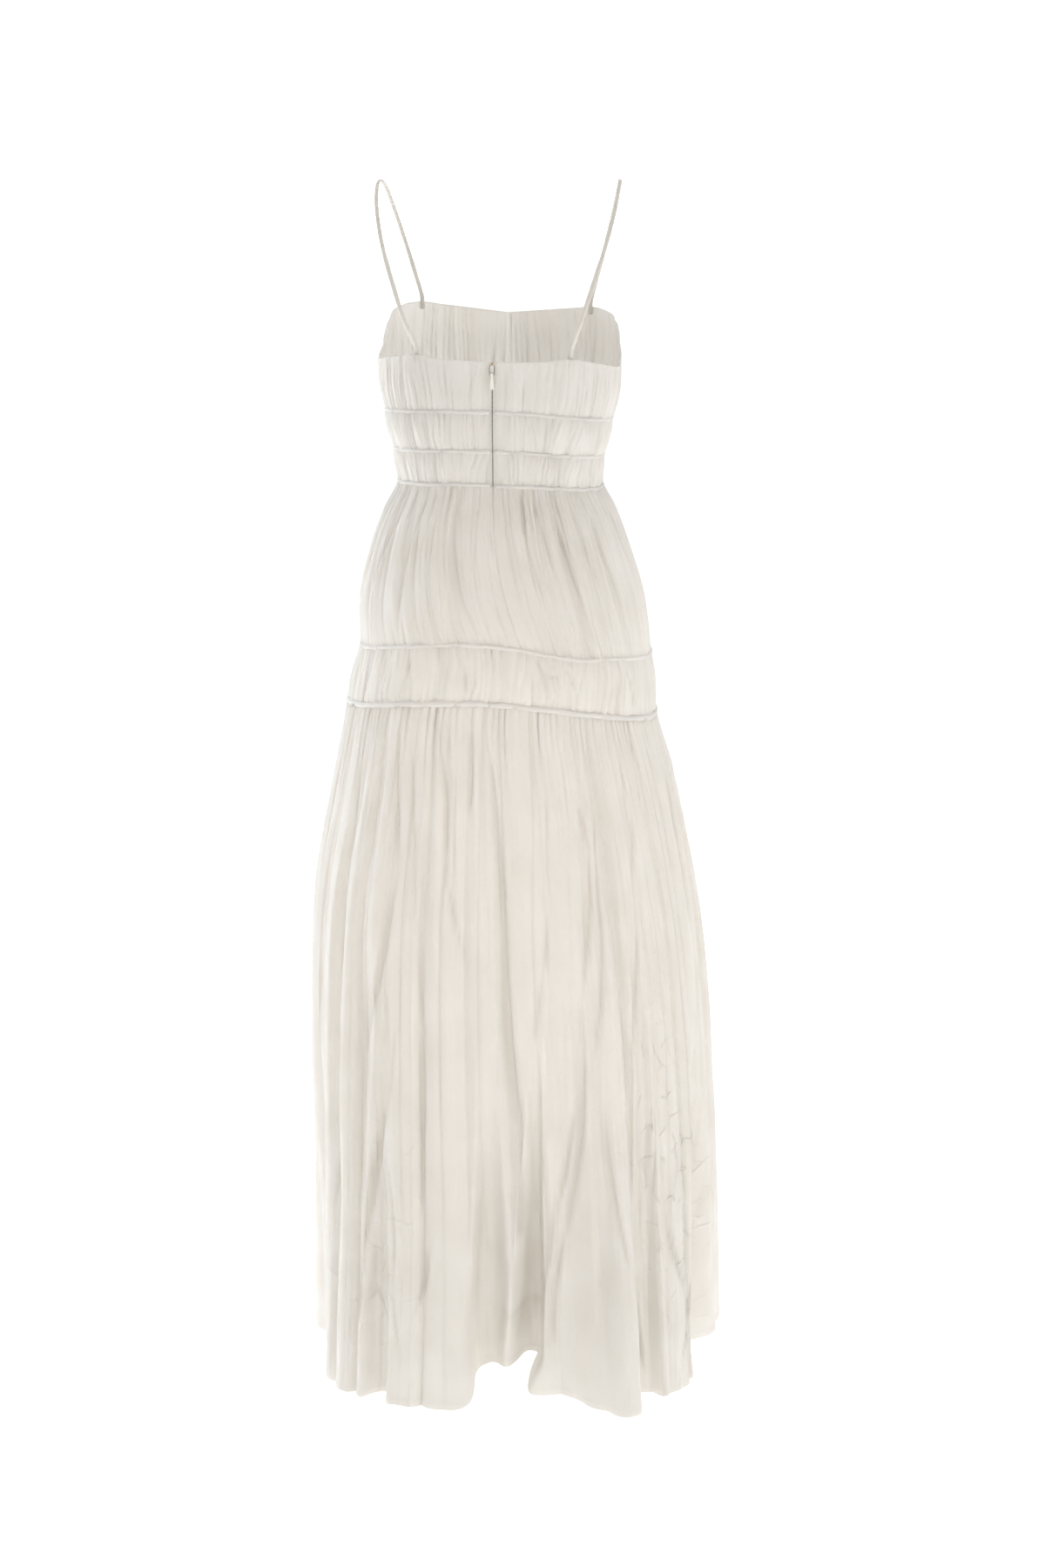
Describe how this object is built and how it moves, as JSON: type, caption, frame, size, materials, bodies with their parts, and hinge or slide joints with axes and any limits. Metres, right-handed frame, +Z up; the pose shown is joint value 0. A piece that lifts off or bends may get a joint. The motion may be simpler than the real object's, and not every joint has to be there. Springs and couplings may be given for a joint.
{
  "type": "maxi dress",
  "caption": "Hollow worn maxi dress in crinkled cotton: thin straps, ruched corded bodice, back zip, gathered hip yoke and long gathered skirt.",
  "frame": {"origin": "midway between the tops of the two shoulder straps, where the wearer's shoulders carry the dress", "axes": "+Z up, the front of the dress faces -Y, the zip at the back faces +Y, and the wearer's left is +X"},
  "size_m": [0.4565, 0.4331, 1.2659],
  "materials": {
    "voile": "thin crinkled off-white cotton voile, matt and slightly see-through",
    "voile_cord": "the same voile on the bias, wrapped round a cord",
    "zip_tape": "off-white woven polyester tape",
    "zip_hardware": "white lacquer, satin",
    "brass": "small bright stop"
  },
  "bodies": {
    "dress": {"bodice_tier1_back_left": "voile", "bodice_tier1_back_right": "voile", "bodice_tier1_front": "voile", "bodice_tier2_back_left": "voile", "bodice_tier2_back_right": "voile", "bodice_tier2_front": "voile", "bodice_tier3_back_left": "voile", "bodice_tier3_back_right": "voile", "bodice_tier3_front": "voile", "seam_cord_1": "voile_cord", "seam_cord_2": "voile_cord", "waist_cord": "voile_cord", "yoke_back_left": "voile", "yoke_back_right": "voile", "yoke_front": "voile", "hip_cord_upper": "voile_cord", "hip_band_back": "voile", "hip_band_front": "voile", "hip_cord_lower": "voile_cord", "lower_skirt_back": "voile", "lower_skirt_front": "voile", "strap_left": "voile_cord", "strap_right": "voile_cord", "zip_tape": "zip_tape", "zip_slider": "zip_hardware", "zip_stop": "brass"},
    "pull_tab": {"zip_pull": "zip_hardware"}
  },
  "joints": [
    {"name": "pull_tab_swing", "type": "hinge", "parent": "dress", "child": "pull_tab", "pos_m": [0, 0.10396, -0.1981], "axis": [1, 0, 0], "range_deg": [0, 150]}
  ]
}
